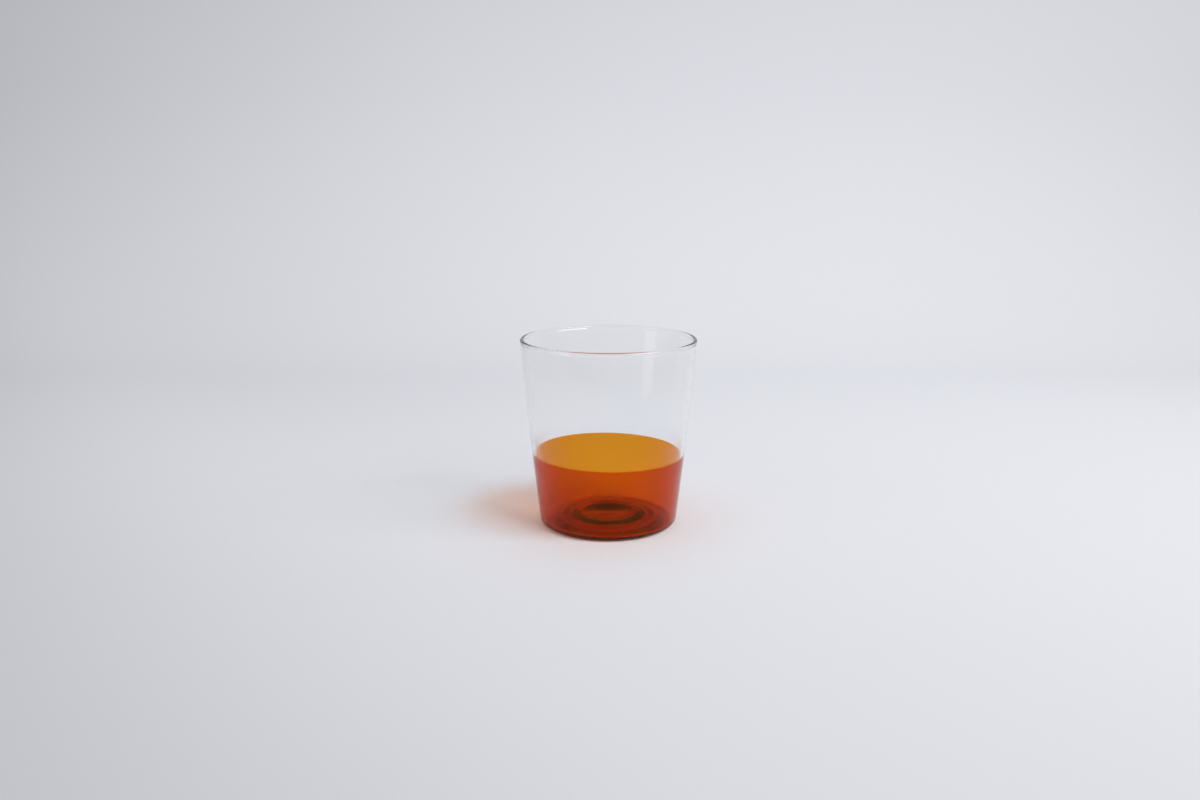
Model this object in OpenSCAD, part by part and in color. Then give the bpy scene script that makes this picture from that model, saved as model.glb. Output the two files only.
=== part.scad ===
// Two-tone blown glass tumbler: a clear wall with a fire-polished rim, fused onto a coloured cup.
// The origin is the middle of the underside, on the table. +Z runs up the axis, and the
// colour line leans down towards +X.

/* [Cup] */
// Outer diameter of the rim
rim_d = 85; // [76:0.5:100]
// Height from the table to the top of the rim
cup_h = 91.5; // [75:0.5:120]
// Outer diameter that the line of the wall would reach at the table
foot_d = 66.8; // [60:0.2:74]
// How far the wall bows out from a straight line between foot and rim
wall_bow = 0.4; // [0.1:0.1:1.5]
// Thickness of the blown wall, clear and coloured alike
wall_t = 1.6; // [1:0.1:2.4]

/* [Rim] */
// Thickness of the round bead that the flame leaves along the rim
bead_t = 2; // [1.8:0.1:3]
// Radius of the run from the bead into the wall
bead_run_r = 4; // [1:0.5:8]

/* [Colour line] */
// Height of the colour line above the table, on the axis
seam_h = 35.3; // [20:0.1:60]
// Lean of the colour line in degrees, lower towards +X
seam_lean = 0.85; // [0:0.05:3]

/* [Base] */
// Radius of the heel outside, between the wall and the foot
heel_r = 3.5; // [2:0.1:5]
// Radius inside, between the wall and the floor
valley_r = 1.8; // [1.5:0.1:5]
// Height of the lowest ring of the inner floor above the table
floor_h = 1.85; // [1.5:0.05:4]
// Rise of the inner floor from its lowest ring, before the dimple is taken out of it
dome_rise = 4.4; // [4:0.1:6]
// Fullness of the floor's shoulders, where 1 is a plain wave
dome_full = 2.3; // [1.2:0.1:2.6]
// Radius of the dimple in the middle of the floor
dimple_r = 14.7; // [8:0.1:20]
// Depth of the dimple
dimple_depth = 1.95; // [0:0.05:2.4]

/* [Underside] */
// Width of the flat foot ring that stands on the table
foot_ring_w = 1.8; // [1.2:0.1:4]
// Rise of the underside from the foot ring to the kick's edge
hollow_rise = 1.2; // [0.2:0.1:1.6]
// Radius of the kick, the part pushed up in the middle
kick_r = 16.8; // [12:0.2:20]
// Height of the kick
kick_rise = 2.05; // [0:0.05:2.5]
// Fullness of the kick's shoulders, where 1 is a plain wave
kick_full = 1.3; // [1:0.05:2]
// Radius of the ring-shaped groove round the kick
groove_r = 17.8; // [14:0.2:20]
// Distance from the groove's deepest line to either of its edges
groove_reach = 5.1; // [3:0.1:7]
// Depth of the groove
groove_rise = 1.25; // [0:0.05:2]
// Radius of the button of glass left in the middle of the kick
button_r = 9.5; // [4:0.5:12]
// How far the button hangs below the kick
button_drop = 0.35; // [0:0.05:1]

/* [Hidden] */
// Steps of the section: along the wall, over the bead, round each of the other arcs, and from
// the axis out along the floor or the underside
wall_steps = 16;
bead_steps = 20;
arc_steps = 10;
base_steps = 30;
turn_fn = 180;
// Overrun of the cut past the glass
cut_over = 1;

// Direction from one point to another, in degrees
function heading(from, to) = atan2(to[1] - from[1], to[0] - from[0]);

// Points of an arc without its first one, which ends the stretch before it
function arc(centre, r, from, to, steps) =
    [for (i = [1:steps]) let (a = from + (to - from) * i / steps) centre + r * [cos(a), sin(a)]];

// A smooth rise, as a share of its height: 1 at its middle, and fading out level at its edge.
// The place is given as a share of the way from the middle to the edge
function swell(place, full = 1) = pow(cos(90 * pow(min(1, max(0, place)), full)), 2);

// Bead: a circle on the middle of the wall, its top at the rim
bead_r = bead_t / 2;
bead_h = cup_h - bead_r;
bead_proud = (bead_t - wall_t) / 2;

// Wall: one large arc through the foot and the rim, with its centre beyond the axis
foot_r = foot_d / 2;
wall_top_r = rim_d / 2 - bead_proud;
chord = norm([wall_top_r - foot_r, bead_h]);
bow_r = chord * chord / (8 * wall_bow) + wall_bow / 2;
bow_c = [wall_top_r + foot_r, bead_h] / 2
    + [-bead_h, wall_top_r - foot_r] / chord * (bow_r - wall_bow);
inner_bow_r = bow_r - wall_t;
mid_bow_r = bow_r - wall_t / 2;

// Distance from the axis, at height z, of an arc of radius r about the wall's centre
function bow_x(r, z) = bow_c[0] + sqrt(r * r - (z - bow_c[1]) * (z - bow_c[1]));

// Centre of the run between the bead and the wall's face, at a reach from the wall's centre
function run_c(reach) =
    let (bead_reach = bead_r + bead_run_r,
         swing = acos((mid_bow_r * mid_bow_r + reach * reach - bead_reach * bead_reach)
             / (2 * mid_bow_r * reach)),
         turn = heading(bow_c, bead_c) - swing)
    bow_c + reach * [cos(turn), sin(turn)];

bead_c = [bow_x(mid_bow_r, bead_h), bead_h];
outer_run_c = run_c(bow_r + bead_run_r);
inner_run_c = run_c(inner_bow_r - bead_run_r);
heel_c = [bow_x(bow_r - heel_r, heel_r), heel_r];
valley_h = floor_h + valley_r;
valley_c = [bow_x(inner_bow_r - valley_r, valley_h), valley_h];
foot_edge = heel_c[0] - foot_ring_w;

// Points of the underside and of the inner floor, at a distance r from the axis
function underside_at(r) =
    [r, hollow_rise * swell((r - kick_r) / (foot_edge - kick_r))
        + kick_rise * swell(r / kick_r, kick_full)
        + groove_rise * swell(abs(r - groove_r) / groove_reach)
        - button_drop * swell(r / button_r)];
function floor_at(r) =
    [r, floor_h + dome_rise * swell(r / valley_c[0], dome_full)
        - dimple_depth * swell(r / dimple_r)];

// Section of the glass right of the axis: out along the underside, up the outside,
// over the bead, down the inside, and in along the floor
underside = concat(
    [for (i = [0:base_steps]) underside_at(foot_edge * i / base_steps)],
    [[heel_c[0], 0]]);
outside = concat(
    arc(heel_c, heel_r, -90, heading(bow_c, heel_c), arc_steps),
    arc(bow_c, bow_r, heading(bow_c, heel_c), heading(bow_c, outer_run_c), wall_steps),
    arc(outer_run_c, bead_run_r, heading(outer_run_c, bow_c), heading(outer_run_c, bead_c), arc_steps));
bead = concat(
    arc(bead_c, bead_r, heading(bead_c, outer_run_c), 0, arc_steps),
    arc(bead_c, bead_r, 0, 180, bead_steps),
    arc(bead_c, bead_r, 180, heading(bead_c, inner_run_c) + 360, arc_steps));
inside = concat(
    arc(inner_run_c, bead_run_r, heading(inner_run_c, bead_c), heading(bow_c, inner_run_c), arc_steps),
    arc(bow_c, inner_bow_r, heading(bow_c, inner_run_c), heading(bow_c, valley_c), wall_steps),
    arc(valley_c, valley_r, heading(bow_c, valley_c), -90, arc_steps),
    [for (i = [1:base_steps]) floor_at(valley_c[0] * (base_steps - i) / base_steps)]);

// The whole glass, before the two melts are told apart
module glass() {
    rotate_extrude($fn = turn_fn) polygon(concat(underside, outside, bead, inside));
}

// Everything above the colour line
module above_seam() {
    reach = rim_d + cut_over;
    translate([0, 0, seam_h]) rotate([0, seam_lean, 0])
        translate([-reach, -reach, 0]) cube([2 * reach, 2 * reach, cup_h]);
}

module clear_wall() {
    color([0.9, 0.94, 0.96, 0.4]) intersection() {
        glass();
        above_seam();
    }
}

module amber_base() {
    color([0.82, 0.4, 0.08, 0.7]) difference() {
        glass();
        above_seam();
    }
}

clear_wall();
amber_base();
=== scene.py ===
"""Two-tone blown glass tumbler, dressed and lit for its studio picture.

The glass is two melts fused along a leaning colour line: a clear wall with a fire-polished rim
above it, and an amber cup below. Each is one closed, evenly revolved skin that follows the same
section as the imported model, and stands for its node there.
"""

import logging
import math
from dataclasses import dataclass, field
from enum import Enum
from functools import cached_property
from typing import ClassVar

import bpy
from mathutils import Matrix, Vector


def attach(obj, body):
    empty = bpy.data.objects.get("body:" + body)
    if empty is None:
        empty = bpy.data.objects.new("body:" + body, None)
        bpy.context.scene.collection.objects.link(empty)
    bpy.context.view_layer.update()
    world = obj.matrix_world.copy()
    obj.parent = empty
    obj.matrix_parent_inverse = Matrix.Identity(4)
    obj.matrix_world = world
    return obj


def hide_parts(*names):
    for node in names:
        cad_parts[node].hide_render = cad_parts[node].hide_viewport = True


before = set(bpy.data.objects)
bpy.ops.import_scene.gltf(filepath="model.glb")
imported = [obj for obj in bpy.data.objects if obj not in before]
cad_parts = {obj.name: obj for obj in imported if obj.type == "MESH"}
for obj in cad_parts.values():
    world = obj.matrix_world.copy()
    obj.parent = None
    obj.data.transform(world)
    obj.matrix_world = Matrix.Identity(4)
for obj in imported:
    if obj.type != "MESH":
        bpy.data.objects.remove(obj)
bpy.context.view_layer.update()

MM = 0.001
IMAGE_WIDTH = 1200

log = logging.getLogger("tumbler")

Point = tuple[float, float]
Place = tuple[float, float, float]
Colour = tuple[float, float, float]
Socket = bpy.types.NodeSocket


def heading(start: Point, end: Point) -> float:
    """Direction in radians from one point (r, z) to another, from the outward way turning up."""
    return math.atan2(end[1] - start[1], end[0] - start[0])


@dataclass(frozen=True)
class Arc:
    """One arc of the section, from one direction about its centre to another."""

    centre: Point
    radius: float
    start: float
    end: float

    def at(self, share: float) -> Point:
        """The point at a share of the way along the arc.

        Args:
            share: how far along the place lies, from 0 at the start to 1 at the end.

        Returns:
            The point (r, z).
        """
        turn = self.start + (self.end - self.start) * share
        return (self.centre[0] + self.radius * math.cos(turn),
                self.centre[1] + self.radius * math.sin(turn))

    def points(self, steps: int) -> list[Point]:
        """Points along the arc without its first one, which ends the stretch before it."""
        return [self.at(i / steps) for i in range(1, steps + 1)]


@dataclass(frozen=True)
class GlassSection:
    """The tumbler's section right of its axis, in millimetres: arcs and waves, smoothly joined."""

    SEAM_ROUNDS: ClassVar[int] = 6

    rim_d: float = 85.0
    cup_h: float = 91.5
    foot_d: float = 66.8
    wall_bow: float = 0.4
    wall_t: float = 1.6
    bead_t: float = 2.0
    bead_run_r: float = 4.0
    seam_h: float = 35.3
    seam_lean: float = 0.85
    heel_r: float = 3.5
    valley_r: float = 1.8
    floor_h: float = 1.85
    dome_rise: float = 4.4
    dome_full: float = 2.3
    dimple_r: float = 14.7
    dimple_depth: float = 1.95
    foot_ring_w: float = 1.8
    hollow_rise: float = 1.2
    kick_r: float = 16.8
    kick_rise: float = 2.05
    kick_full: float = 1.3
    groove_r: float = 17.8
    groove_reach: float = 5.1
    groove_rise: float = 1.25
    button_r: float = 9.5
    button_drop: float = 0.35

    @cached_property
    def bead_r(self) -> float:
        """Radius of the rim's bead."""
        return self.bead_t / 2

    @cached_property
    def bead_h(self) -> float:
        """Height of the bead's centre."""
        return self.cup_h - self.bead_r

    @cached_property
    def wall_ends(self) -> tuple[Point, Point]:
        """The two points that the outer face's line runs through, at the table and at the bead."""
        proud = (self.bead_t - self.wall_t) / 2
        return (self.foot_d / 2, 0.0), (self.rim_d / 2 - proud, self.bead_h)

    @cached_property
    def chord(self) -> float:
        """Length of the straight line that the outer face bows out from."""
        low, high = self.wall_ends
        return math.hypot(high[0] - low[0], high[1] - low[1])

    @cached_property
    def bow_r(self) -> float:
        """Radius of the wall's outer face, seen in section."""
        return self.chord * self.chord / (8 * self.wall_bow) + self.wall_bow / 2

    @cached_property
    def bow_c(self) -> Point:
        """Centre of the wall's faces, far beyond the axis.

        Returns:
            The point (r, z).
        """
        low, high = self.wall_ends
        reach = (self.bow_r - self.wall_bow) / self.chord
        return ((low[0] + high[0]) / 2 - (high[1] - low[1]) * reach,
                (low[1] + high[1]) / 2 + (high[0] - low[0]) * reach)

    @cached_property
    def inner_bow_r(self) -> float:
        """Radius of the wall's inner face, seen in section."""
        return self.bow_r - self.wall_t

    @cached_property
    def mid_bow_r(self) -> float:
        """Radius of the middle of the wall, seen in section."""
        return self.bow_r - self.wall_t / 2

    def bow_x(self, radius: float, height: float) -> float:
        """Distance from the axis, at a height, of an arc of that radius about the wall's centre."""
        return self.bow_c[0] + math.sqrt(radius ** 2 - (height - self.bow_c[1]) ** 2)

    @cached_property
    def bead_c(self) -> Point:
        """Centre of the rim's bead."""
        return self.bow_x(self.mid_bow_r, self.bead_h), self.bead_h

    def run_c(self, reach: float) -> Point:
        """Centre of the run between the bead and a face of the wall.

        Args:
            reach: how far that centre lies from the wall's own centre.

        Returns:
            The centre, below the bead.
        """
        bead_reach = self.bead_r + self.bead_run_r
        swing = math.acos((self.mid_bow_r ** 2 + reach ** 2 - bead_reach ** 2)
                          / (2 * self.mid_bow_r * reach))
        turn = heading(self.bow_c, self.bead_c) - swing
        return self.bow_c[0] + reach * math.cos(turn), self.bow_c[1] + reach * math.sin(turn)

    @cached_property
    def outer_run_c(self) -> Point:
        """Centre of the run outside."""
        return self.run_c(self.bow_r + self.bead_run_r)

    @cached_property
    def inner_run_c(self) -> Point:
        """Centre of the run inside."""
        return self.run_c(self.inner_bow_r - self.bead_run_r)

    @cached_property
    def heel_c(self) -> Point:
        """Centre of the heel's arc."""
        return self.bow_x(self.bow_r - self.heel_r, self.heel_r), self.heel_r

    @cached_property
    def valley_c(self) -> Point:
        """Centre of the arc between the inner wall and the floor."""
        height = self.floor_h + self.valley_r
        return self.bow_x(self.inner_bow_r - self.valley_r, height), height

    @cached_property
    def foot_edge(self) -> float:
        """Distance of the foot ring's inner edge from the axis."""
        return self.heel_c[0] - self.foot_ring_w

    @staticmethod
    def swell(share: float, full: float = 1.0) -> float:
        """A smooth rise, 1 at its middle and gone at share 1; full fills out its shoulders."""
        return math.cos(math.pi / 2 * min(1.0, max(0.0, share)) ** full) ** 2

    def underside_at(self, r: float) -> Point:
        """Point of the underside.

        Args:
            r: distance from the axis.

        Returns:
            The point (r, z).
        """
        slope = self.hollow_rise * self.swell((r - self.kick_r) / (self.foot_edge - self.kick_r))
        kick = self.kick_rise * self.swell(r / self.kick_r, self.kick_full)
        button = self.button_drop * self.swell(r / self.button_r)
        groove = self.groove_rise * self.swell(abs(r - self.groove_r) / self.groove_reach)
        return r, slope + kick + groove - button

    def floor_at(self, r: float) -> Point:
        """Point of the inner floor, at a distance from the axis."""
        dome = self.dome_rise * self.swell(r / self.valley_c[0], self.dome_full)
        return r, self.floor_h + dome - self.dimple_depth * self.swell(r / self.dimple_r)

    def underside(self, steps: int) -> list[Point]:
        """Points of the underside from the axis to the foot ring, without the one on the axis."""
        return [self.underside_at(self.foot_edge * i / steps) for i in range(1, steps + 1)]

    def floor(self, steps: int) -> list[Point]:
        """Points of the inner floor from the wall's foot to the axis, without the first one."""
        return [self.floor_at(self.valley_c[0] * (steps - i) / steps) for i in range(1, steps + 1)]

    @cached_property
    def heel(self) -> Arc:
        """The heel, from the table up to the wall's outer face."""
        return Arc(self.heel_c, self.heel_r, -math.pi / 2, heading(self.bow_c, self.heel_c))

    @cached_property
    def outer_run(self) -> Arc:
        """The run outside, from the wall to the bead."""
        return Arc(self.outer_run_c, self.bead_run_r,
                   heading(self.outer_run_c, self.bow_c), heading(self.outer_run_c, self.bead_c))

    @cached_property
    def bead(self) -> Arc:
        """The bead, from the run outside over the rim to the run inside."""
        return Arc(self.bead_c, self.bead_r, heading(self.bead_c, self.outer_run_c),
                   heading(self.bead_c, self.inner_run_c) + 2 * math.pi)

    @cached_property
    def inner_run(self) -> Arc:
        """The run inside, from the bead to the wall."""
        return Arc(self.inner_run_c, self.bead_run_r,
                   heading(self.inner_run_c, self.bead_c), heading(self.bow_c, self.inner_run_c))

    @cached_property
    def valley(self) -> Arc:
        """The arc from the inner wall down to the floor, where it is level."""
        return Arc(self.valley_c, self.valley_r, heading(self.bow_c, self.valley_c), -math.pi / 2)

    def seam_at(self, face_r: float, turn: float) -> float:
        """Height at which a face of the wall crosses the colour line.

        Args:
            face_r: radius of the face, seen in section.
            turn: direction about the axis in radians, from +X.

        Returns:
            The height in millimetres.
        """
        fall = math.tan(math.radians(self.seam_lean)) * math.cos(turn)
        height = self.seam_h
        for _ in range(self.SEAM_ROUNDS):
            height = self.seam_h - fall * self.bow_x(face_r, height)
        return height

    def face(self, face_r: float, low: float, high: float, steps: int) -> list[Point]:
        """Points of a face of the wall from one height to another, without the first one."""
        heights = [low + (high - low) * i / steps for i in range(1, steps + 1)]
        return [(self.bow_x(face_r, z), z) for z in heights]


class Melt(Enum):
    """The two melts of glass, each with the node that it stands for and its slot in the record."""

    CLEAR = ("clear_wall", "clear_glass")
    AMBER = ("amber_base", "amber_glass")

    @property
    def node(self) -> str:
        """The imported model's name for the piece."""
        return self.value[0]

    @property
    def slot(self) -> str:
        """The record's name for the finish."""
        return self.value[1]


class NodeDesk:
    """A material's nodes, and the few steps with them that the finishes share."""

    # A mix node's sockets share their names between numbers, vectors and colours. These are the
    # colours' own.
    COLOUR_A: ClassVar[int] = 6
    COLOUR_B: ClassVar[int] = 7
    COLOUR_RESULT: ClassVar[int] = 2

    def __init__(self, material: bpy.types.Material) -> None:
        """Opens a material's nodes.

        Args:
            material: the material, which may be new.
        """
        material.use_nodes = True
        self.nodes: bpy.types.Nodes = material.node_tree.nodes
        self.links: bpy.types.NodeLinks = material.node_tree.links

    def wire(self, source: Socket, target: Socket) -> None:
        """Links one socket to another."""
        self.links.new(source, target)

    def place(self) -> Socket:
        """The place on the object, in its own coordinates."""
        return self.nodes.new("ShaderNodeTexCoord").outputs["Object"]

    def height(self, place: Socket) -> Socket:
        """The height above the table.

        Args:
            place: the place on the object.

        Returns:
            The socket that gives the height.
        """
        parts = self.nodes.new("ShaderNodeSeparateXYZ")
        self.wire(place, parts.inputs["Vector"])
        return parts.outputs["Z"]

    def noise(self, place: Socket, scale: float, detail: float = 2.0) -> Socket:
        """A soft unevenness.

        Args:
            place: the place that it is taken at.
            scale: how fine it is.
            detail: how many finer layers it has.

        Returns:
            The socket that gives its strength.
        """
        noise = self.nodes.new("ShaderNodeTexNoise")
        noise.inputs["Scale"].default_value = scale
        noise.inputs["Detail"].default_value = detail
        self.wire(place, noise.inputs["Vector"])
        return noise.outputs["Fac"]

    def change(self, value: Socket, turns: tuple[float, float],
               ends: tuple[float, float] = (0.0, 1.0)) -> Socket:
        """A smooth change from one number to another.

        Args:
            value: what the change follows.
            turns: the values at which it starts and ends.
            ends: the number before the change and the one after it.

        Returns:
            The socket that gives the number.
        """
        change = self.nodes.new("ShaderNodeMapRange")
        change.interpolation_type = "SMOOTHSTEP"
        for socket, number in zip(("From Min", "From Max", "To Min", "To Max"), turns + ends):
            change.inputs[socket].default_value = number
        self.wire(value, change.inputs["Value"])
        return change.outputs["Result"]

    def vector(self, operation: str, first: Socket,
               second: Place | None = None) -> bpy.types.Node:
        """A step of arithmetic with vectors.

        Args:
            operation: what is worked out.
            first: the vector that it starts from.
            second: the constant vector that it takes, if any.

        Returns:
            The node, which gives a vector or a number.
        """
        step = self.nodes.new("ShaderNodeVectorMath")
        step.operation = operation
        self.wire(first, step.inputs[0])
        if second is not None:
            step.inputs[1].default_value = second
        return step


@dataclass(frozen=True)
class GlassFinish:
    """Smooth blown glass: how it bends light, what it takes out of it, and how its skin wavers."""

    name: str
    melt_colour: Colour
    melt_density: float
    ior: float = 1.47
    roughness: float = 0.0
    tint: Colour = (1.0, 1.0, 1.0)
    glint: Colour = (1.0, 1.0, 1.0)
    # Painted reflection: a warm tint for the reflections low on the wall, which fades out between
    # these heights.
    painted_low_glint: Colour | None = None
    painted_glint_turns: tuple[float, float] = (0.050, 0.060)
    cord_scale: float = 160.0
    cord_squeeze: float = 0.04
    cord_height: float = 0.000008
    sway_scale: float = 30.0
    sway_detail: float = 1.0
    sway_height: float = 0.00002
    flame_turns: tuple[float, float] = (0.083, 0.088)

    def material(self) -> bpy.types.Material:
        """Builds the glass as a node material.

        Returns:
            The finished material.
        """
        mat = bpy.data.materials.new(self.name)
        desk = NodeDesk(mat)
        desk.nodes.clear()
        out = desk.nodes.new("ShaderNodeOutputMaterial")
        glass = desk.nodes.new("ShaderNodeBsdfPrincipled")
        glass.inputs["Base Color"].default_value = (*self.tint, 1)
        glass.inputs["Roughness"].default_value = self.roughness
        glass.inputs["IOR"].default_value = self.ior
        glass.inputs["Transmission Weight"].default_value = 1.0
        glass.inputs["Specular Tint"].default_value = (*self.glint, 1)
        desk.wire(glass.outputs["BSDF"], out.inputs["Surface"])
        # Painted reflection: the reflections low on the wall are tinted warm by height.
        if self.painted_low_glint is not None:
            desk.wire(self._painted_warm_glint(desk), glass.inputs["Specular Tint"])
        bend = desk.nodes.new("ShaderNodeAttribute")
        bend.attribute_name = GlassSkin.BEND
        desk.wire(bend.outputs["Fac"], glass.inputs["IOR"])
        desk.wire(self._waver(desk), glass.inputs["Normal"])
        melt = desk.nodes.new("ShaderNodeVolumeAbsorption")
        melt.inputs["Color"].default_value = (*self.melt_colour, 1)
        melt.inputs["Density"].default_value = self.melt_density
        desk.wire(melt.outputs["Volume"], out.inputs["Volume"])
        return mat

    def _painted_warm_glint(self, desk: NodeDesk) -> Socket:
        """The glint's colour, with a painted warm tint on the reflections low on the wall, by
        height.

        Args:
            desk: the material's nodes.

        Returns:
            The socket that gives the colour.
        """
        blend = desk.nodes.new("ShaderNodeMix")
        blend.data_type = "RGBA"
        blend.inputs[desk.COLOUR_A].default_value = (*self.painted_low_glint, 1)
        blend.inputs[desk.COLOUR_B].default_value = (*self.glint, 1)
        height = desk.height(desk.place())
        desk.wire(desk.change(height, self.painted_glint_turns), blend.inputs["Factor"])
        return blend.outputs[desk.COLOUR_RESULT]

    def _waver(self, desk: NodeDesk) -> Socket:
        """Upright cords and a slow sway, as blown glass has, smoothed away where the flame was.

        Args:
            desk: the material's nodes.

        Returns:
            The socket that gives the skin's normal.
        """
        place = desk.place()
        upright = desk.nodes.new("ShaderNodeMapping")
        upright.inputs["Scale"].default_value = (1, 1, self.cord_squeeze)
        desk.wire(place, upright.inputs["Vector"])
        cords = desk.noise(upright.outputs["Vector"], self.cord_scale)
        sway = desk.noise(place, self.sway_scale, self.sway_detail)
        strength = desk.change(desk.height(place), self.flame_turns, (1.0, 0.0))
        normal = None
        for unevenness, height in ((cords, self.cord_height), (sway, self.sway_height)):
            bump = desk.nodes.new("ShaderNodeBump")
            bump.inputs["Distance"].default_value = height
            desk.wire(strength, bump.inputs["Strength"])
            desk.wire(unevenness, bump.inputs["Height"])
            if normal is not None:
                desk.wire(normal, bump.inputs["Normal"])
            normal = bump.outputs["Normal"]
        return normal


@dataclass
class GlassSkin:
    """What the two melts share: columns of the section revolved into one closed skin."""

    BEND: ClassVar[str] = "bend"
    NO_BEND: ClassVar[float] = 1.0

    finish: GlassFinish
    melt: Melt
    section: GlassSection = field(default_factory=GlassSection)
    turns: int = 256
    wall_rows: int = 60
    arc_rows: int = 16
    bead_rows: int = 48
    cap_rows: int = 72
    seam_gap: float = 0.01
    clearance: float = 0.02

    def column(self, turn: float) -> list[tuple[Point, bool]]:
        """One upright column: each point, and whether the face after it lies in the seam."""
        raise NotImplementedError

    def closes_on_axis(self) -> bool:
        """Whether the column runs from the axis to the axis, and not round in a ring."""
        raise NotImplementedError

    def _fit(self, point: Point, turn: float) -> Place:
        """Carries a point of the section to metres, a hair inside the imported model's box.

        Args:
            point: the point (r, z) in millimetres.
            turn: direction about the axis in radians.

        Returns:
            The place in metres.
        """
        half, height = self.section.rim_d / 2, self.section.cup_h
        r = point[0] * (half - self.clearance) / half
        z = self.clearance + point[1] * (height - 2 * self.clearance) / height
        return r * math.cos(turn) * MM, r * math.sin(turn) * MM, z * MM

    def _shell(self) -> tuple[list[Place], list[list[int]], list[bool]]:
        """Revolves the columns into one closed shell.

        Returns:
            The corners, the faces, and for each face whether it lies in the seam.
        """
        headings = [2 * math.pi * i / self.turns for i in range(self.turns)]
        columns = [self.column(turn) for turn in headings]
        in_seam = [flag for _, flag in columns[0]]
        rows, ends = len(in_seam), self.closes_on_axis()
        verts: list[Place] = []
        index: list[list[int]] = []
        for turn, column in zip(headings, columns):
            numbers = []
            for j, (point, _) in enumerate(column):
                if ends and index and j in (0, rows - 1):
                    numbers.append(index[0][j])
                    continue
                numbers.append(len(verts))
                verts.append(self._fit(point, turn))
            index.append(numbers)
        faces, seam_faces = [], []
        for i in range(self.turns):
            near, far = index[i], index[(i + 1) % self.turns]
            for j in range(rows - 1 if ends else rows):
                k = (j + 1) % rows
                faces.append(list(dict.fromkeys((near[j], far[j], far[k], near[k]))))
                seam_faces.append(in_seam[j])
        return verts, faces, seam_faces

    def _mark_seam(self, mesh: bpy.types.Mesh, seam_faces: list[bool]) -> None:
        """Gives the fused faces no bend of their own, and keeps their edges crisp.

        Args:
            mesh: the skin.
            seam_faces: for each face, whether it lies in the seam.
        """
        bend = mesh.attributes.new(self.BEND, "FLOAT", "FACE")
        bends = [self.NO_BEND if seam else self.finish.ior for seam in seam_faces]
        bend.data.foreach_set("value", bends)
        touch: dict[tuple[int, int], int] = {}
        for face, seam in zip(mesh.polygons, seam_faces):
            for key in face.edge_keys:
                touch[key] = touch.get(key, 0) + (1 if seam else 0)
        for edge in mesh.edges:
            edge.use_edge_sharp = touch[tuple(sorted(edge.vertices))] == 1

    def build(self) -> bpy.types.Object:
        """Builds the skin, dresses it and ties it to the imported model.

        Returns:
            The finished piece.
        """
        verts, faces, seam_faces = self._shell()
        mesh = bpy.data.meshes.new(self.melt.node + "_glass")
        mesh.from_pydata(verts, [], faces)
        mesh.shade_smooth()
        self._mark_seam(mesh, seam_faces)
        mesh.materials.append(self.finish.material())
        piece = bpy.data.objects.new(mesh.name, mesh)
        bpy.context.scene.collection.objects.link(piece)
        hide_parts(self.melt.node)
        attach(piece, "root")
        log.info("%s: %d faces, stands for %s", piece.name, len(mesh.polygons), self.melt.node)
        return piece


@dataclass
class ClearWall(GlassSkin):
    """The clear upper wall, which ends in the fire-polished rim."""

    melt: Melt = Melt.CLEAR

    def closes_on_axis(self) -> bool:
        """The wall is a ring: its column runs round."""
        return False

    def column(self, turn: float) -> list[tuple[Point, bool]]:
        """One column: up the outside, over the bead, down the inside, and across the seam.

        Args:
            turn: direction about the axis in radians.

        Returns:
            The points, each with whether the face after it lies in the seam.
        """
        s, half_gap = self.section, self.seam_gap / 2
        low_out = s.seam_at(s.bow_r, turn) + half_gap
        low_in = s.seam_at(s.inner_bow_r, turn) + half_gap
        run_out, run_in = s.outer_run.at(0)[1], s.inner_run.at(1)[1]
        points = [(s.bow_x(s.bow_r, low_out), low_out)]
        points += s.face(s.bow_r, low_out, run_out, self.wall_rows)
        points += s.outer_run.points(self.arc_rows)
        points += s.bead.points(self.bead_rows)
        points += s.inner_run.points(self.arc_rows)
        points += s.face(s.inner_bow_r, run_in, low_in, self.wall_rows)
        return [(p, i == len(points) - 1) for i, p in enumerate(points)]


@dataclass
class AmberBase(GlassSkin):
    """The amber lower cup, with its heel, its domed floor and the hollow it stands on."""

    melt: Melt = Melt.AMBER

    def closes_on_axis(self) -> bool:
        """The cup is closed below: its column runs from the axis to the axis."""
        return True

    def column(self, turn: float) -> list[tuple[Point, bool]]:
        """One column: out along the underside, up the outside, across the seam, down and in.

        Args:
            turn: direction about the axis in radians.

        Returns:
            The points, each with whether the face after it lies in the seam.
        """
        s, half_gap = self.section, self.seam_gap / 2
        top_out = s.seam_at(s.bow_r, turn) - half_gap
        top_in = s.seam_at(s.inner_bow_r, turn) - half_gap
        heel_top, valley_top = s.heel.at(1)[1], s.valley.at(0)[1]
        points = [s.underside_at(0)]
        points += s.underside(self.cap_rows)
        points.append(s.heel.at(0))
        points += s.heel.points(self.arc_rows)
        points += s.face(s.bow_r, heel_top, top_out, self.wall_rows)
        brim = len(points) - 1
        points.append((s.bow_x(s.inner_bow_r, top_in), top_in))
        points += s.face(s.inner_bow_r, top_in, valley_top, self.wall_rows)
        points += s.valley.points(self.arc_rows)
        points += s.floor(self.cap_rows)
        return [(p, i == brim) for i, p in enumerate(points)]


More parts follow.
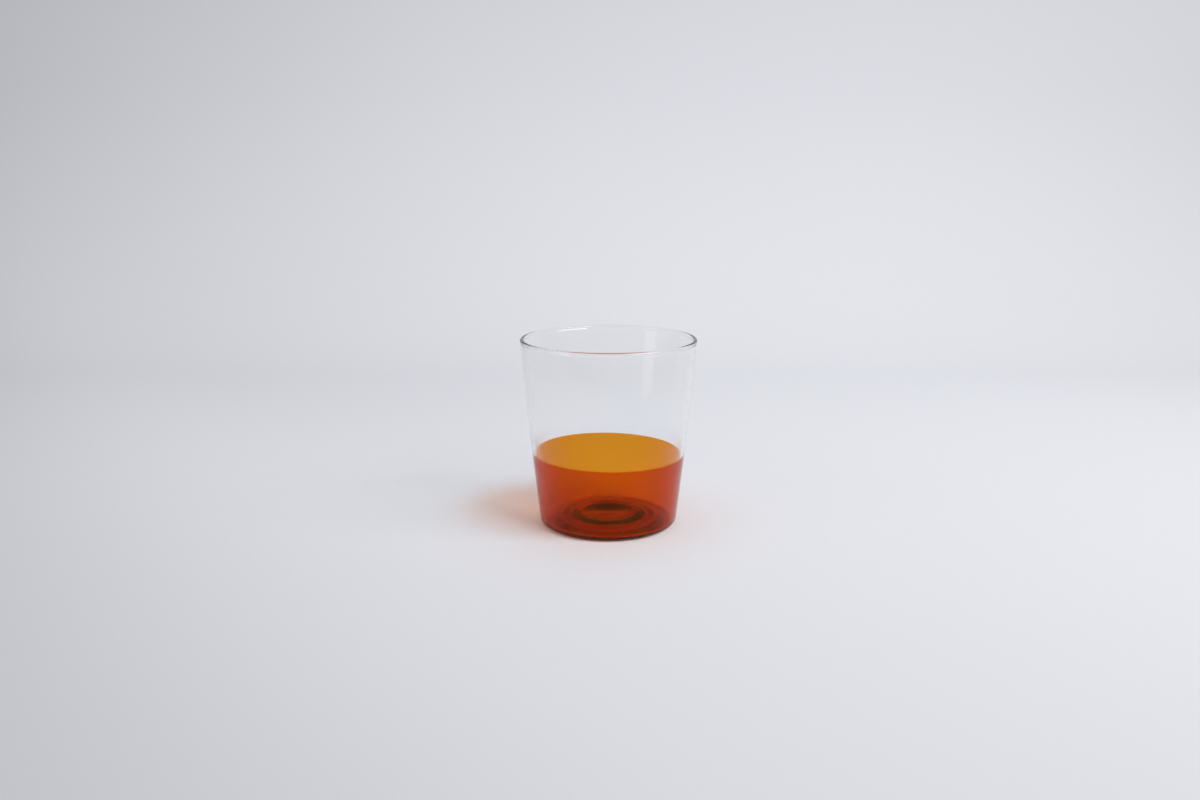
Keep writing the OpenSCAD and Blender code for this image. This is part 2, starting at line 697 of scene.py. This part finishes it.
@dataclass(frozen=True)
class PaperFinish:
    """Matt pale board: faintly uneven, with painted light and shade that greys it away from its
    brightest spot.
    """

    name: str
    colour: Colour
    mottle: float = 0.012
    mottle_scale: float = 3.0
    roughness: float = 0.9
    gloss: float = 0.1
    # Painted light and shade: the colour is brightest at this spot, greyed by a painted falloff
    # around it, and darkened by painted shade towards one corner.
    painted_light_spot: Place = (-0.19, 0.30, 0.06)
    stretch: Place = (0.58, 0.86, 1.11)
    reach: tuple[float, float] = (0.11, 0.86)
    painted_falloff: float = 0.36
    painted_shade_way: Place = (-0.8, -0.6, 0.0)
    painted_shade_turns: tuple[float, float] = (0.10, 0.42)
    painted_shade_depth: float = 0.22
    recovery: tuple[float, float] = (0.7, 1.6)

    def material(self) -> bpy.types.Material:
        """Builds the board as a node material.

        Returns:
            The finished material.
        """
        mat = bpy.data.materials.new(self.name)
        desk = NodeDesk(mat)
        board = desk.nodes["Principled BSDF"]
        board.inputs["Roughness"].default_value = self.roughness
        board.inputs["Specular IOR Level"].default_value = self.gloss
        place = desk.place()
        tone = desk.nodes.new("ShaderNodeValToRGB")
        for stop, lift in zip(tone.color_ramp.elements, (-self.mottle, self.mottle)):
            stop.color = (*[c + lift for c in self.colour], 1)
        desk.wire(desk.noise(place, self.mottle_scale), tone.inputs["Fac"])
        # The painted light and shade scale the board's colour.
        shaded_tone = desk.vector("SCALE", tone.outputs["Color"])
        desk.wire(self._painted_light_and_shade(desk, place), shaded_tone.inputs["Scale"])
        desk.wire(shaded_tone.outputs["Vector"], board.inputs["Base Color"])
        return mat

    def _painted_light_and_shade(self, desk: NodeDesk, place: Socket) -> Socket:
        """Painted light and shade on the board: 1 at its brightest spot and far away.

        Painted shade makes it less between them, and less again towards one corner.

        Args:
            desk: the material's nodes.
            place: the place on the board.

        Returns:
            The socket that gives the share of the board's colour.
        """
        away = desk.vector("SUBTRACT", place, self.painted_light_spot).outputs["Vector"]
        pulled = desk.vector("MULTIPLY", away, self.stretch).outputs["Vector"]
        distance = desk.vector("LENGTH", pulled).outputs["Value"]
        cornerwise = desk.vector("DOT_PRODUCT", place, self.painted_shade_way).outputs["Value"]
        both = desk.nodes.new("ShaderNodeMath")
        both.operation = "MULTIPLY"
        # Painted falloff around the bright spot, and painted shade towards one corner.
        fall = desk.change(distance, self.reach, (1.0, 1.0 - self.painted_falloff))
        dim = desk.change(cornerwise, self.painted_shade_turns, (1.0, 1.0 - self.painted_shade_depth))
        desk.wire(fall, both.inputs[0])
        desk.wire(dim, both.inputs[1])
        blend = desk.nodes.new("ShaderNodeMix")
        blend.inputs["B"].default_value = 1.0
        desk.wire(desk.change(distance, self.recovery), blend.inputs["Factor"])
        desk.wire(both.outputs["Value"], blend.inputs["A"])
        return blend.outputs["Result"]


@dataclass
class Sweep:
    """The pale table and wall behind it, one sheet with a soft bend between them."""

    finish: PaperFinish = PaperFinish("pale_board", (0.885, 0.897, 0.940))
    width: float = 7.0
    front: float = -3.0
    back: float = 0.62
    bend: float = 0.25
    height: float = 2.6
    bend_rows: int = 24

    def build(self) -> bpy.types.Object:
        """Builds the sheet.

        Returns:
            The sheet.
        """
        line = [(self.front, 0.0), (self.back - self.bend, 0.0)]
        for i in range(1, self.bend_rows + 1):
            turn = math.pi / 2 * i / self.bend_rows
            line.append((self.back - self.bend + self.bend * math.sin(turn),
                         self.bend - self.bend * math.cos(turn)))
        line.append((self.back, self.height))
        half = self.width / 2
        verts = [(x, y, z) for y, z in line for x in (-half, half)]
        faces = [(2 * i, 2 * i + 1, 2 * i + 3, 2 * i + 2) for i in range(len(line) - 1)]
        mesh = bpy.data.meshes.new("studio_sweep")
        mesh.from_pydata(verts, [], faces)
        mesh.shade_smooth()
        mesh.materials.append(self.finish.material())
        sheet = bpy.data.objects.new(mesh.name, mesh)
        bpy.context.scene.collection.objects.link(sheet)
        log.info("%s: the table and the wall behind", sheet.name)
        return sheet


@dataclass(frozen=True)
class SoftLamp:
    """A soft rectangular lamp that looks at the cup from a direction and a distance."""

    name: str
    azimuth: float
    elevation: float
    distance: float
    width: float
    height: float
    power: float
    colour: Colour = (1.0, 1.0, 1.0)
    aim: Place = (0.0, 0.0, 0.04)

    def build(self) -> bpy.types.Object:
        """Hangs the lamp.

        Returns:
            The lamp.
        """
        data = bpy.data.lights.new(self.name, "AREA")
        data.shape = "RECTANGLE"
        data.size, data.size_y = self.width, self.height
        data.energy = self.power
        data.color = self.colour
        lamp = bpy.data.objects.new(self.name, data)
        bpy.context.scene.collection.objects.link(lamp)
        turn, rise = math.radians(self.azimuth), math.radians(self.elevation)
        flat = math.cos(rise)
        way = Vector((math.sin(turn) * flat, -math.cos(turn) * flat, math.sin(rise)))
        lamp.location = Vector(self.aim) + way * self.distance
        lamp.rotation_mode = "QUATERNION"
        lamp.rotation_quaternion = way.to_track_quat("Z", "Y")
        log.info("%s: %.2f W at %.0f degrees round, %.0f up", self.name, self.power,
                 self.azimuth, self.elevation)
        return lamp


@dataclass(frozen=True)
class RoomLight:
    """The even light of the room around the table."""

    colour: Colour = (1.0, 1.0, 1.0)
    strength: float = 0.44

    def build(self) -> bpy.types.World:
        """Sets the world.

        Returns:
            The world.
        """
        world = bpy.data.worlds.new("room")
        world.use_nodes = True
        glow = world.node_tree.nodes["Background"]
        glow.inputs["Color"].default_value = (*self.colour, 1)
        glow.inputs["Strength"].default_value = self.strength
        bpy.context.scene.world = world
        log.info("room: strength %.2f", self.strength)
        return world


@dataclass(frozen=True)
class PhotoCamera:
    """The camera at the photograph's place: in front of the cup, a little above its rim."""

    focal_px: float = 1060.0
    distance: float = 0.502
    height: float = 0.1746
    pitch: float = 12.76
    yaw: float = 0.465
    sensor: float = 36.0
    clip: tuple[float, float] = (0.01, 20.0)

    def build(self) -> bpy.types.Object:
        """Places the camera and makes it the scene's.

        Returns:
            The camera.
        """
        data = bpy.data.cameras.new("photo_camera")
        data.sensor_fit = "HORIZONTAL"
        data.sensor_width = self.sensor
        data.lens = self.focal_px * self.sensor / IMAGE_WIDTH
        data.clip_start, data.clip_end = self.clip
        camera = bpy.data.objects.new("photo_camera", data)
        bpy.context.scene.collection.objects.link(camera)
        camera.location = (0.0, -self.distance, self.height)
        camera.rotation_euler = (math.radians(90 - self.pitch), 0.0, math.radians(self.yaw))
        bpy.context.scene.camera = camera
        log.info("camera: lens %.1f mm, %.0f mm from the axis", data.lens, self.distance / MM)
        return camera


@dataclass(frozen=True)
class LightPaths:
    """How far light is followed through the skins of glass, with none of it cut off."""

    max_bounces: int = 24
    transmission_bounces: int = 24
    glossy_bounces: int = 12
    diffuse_bounces: int = 4
    transparent_max_bounces: int = 16
    blur_glossy: float = 0.0
    sample_clamp_indirect: float = 0.0

    def set(self) -> None:
        """Hands the limits to the scene."""
        cycles = bpy.context.scene.cycles
        cycles.max_bounces = self.max_bounces
        cycles.transmission_bounces = self.transmission_bounces
        cycles.glossy_bounces = self.glossy_bounces
        cycles.diffuse_bounces = self.diffuse_bounces
        cycles.transparent_max_bounces = self.transparent_max_bounces
        cycles.blur_glossy = self.blur_glossy
        cycles.sample_clamp_indirect = self.sample_clamp_indirect


@dataclass
class Tumbler:
    """The whole glass: one section, blown in two melts."""

    section: GlassSection = field(default_factory=GlassSection)
    # The clear melt's low glint is a painted warm tint on its reflections low on the wall.
    clear: GlassFinish = GlassFinish(
        "clear_blown_glass", melt_colour=(0.62, 0.60, 0.55), melt_density=15.0,
        painted_low_glint=(1.0, 0.62, 0.2))
    amber: GlassFinish = GlassFinish(
        "amber_blown_glass", melt_colour=(0.960, 0.766, 0.004), melt_density=3300.0,
        glint=(0.8, 0.42, 0.15))

    def build(self) -> None:
        """Builds both melts."""
        ClearWall(finish=self.clear, section=self.section).build()
        AmberBase(finish=self.amber, section=self.section).build()


@dataclass
class Studio:
    """The table, the lamps, the room and the camera."""

    sweep: Sweep = field(default_factory=Sweep)
    lamps: tuple[SoftLamp, ...] = (
        SoftLamp("key", azimuth=56, elevation=40, distance=1.4,
                 width=1.0, height=0.5, power=13.25),
        SoftLamp("left_panel", azimuth=-62, elevation=12, distance=0.95,
                 width=0.3, height=0.6, power=0.4),
    )
    room: RoomLight = RoomLight()
    camera: PhotoCamera = PhotoCamera()
    paths: LightPaths = LightPaths()

    def build(self) -> None:
        """Sets the table, hangs the lamps and places the camera."""
        self.sweep.build()
        for lamp in self.lamps:
            lamp.build()
        self.room.build()
        self.camera.build()
        self.paths.set()
        bpy.context.scene.view_settings.view_transform = "Standard"


def main() -> None:
    """Builds the glass, then the studio round it."""
    logging.basicConfig(level=logging.INFO, format="%(name)s %(message)s")
    Tumbler().build()
    Studio().build()


if __name__ == "__main__":
    main()
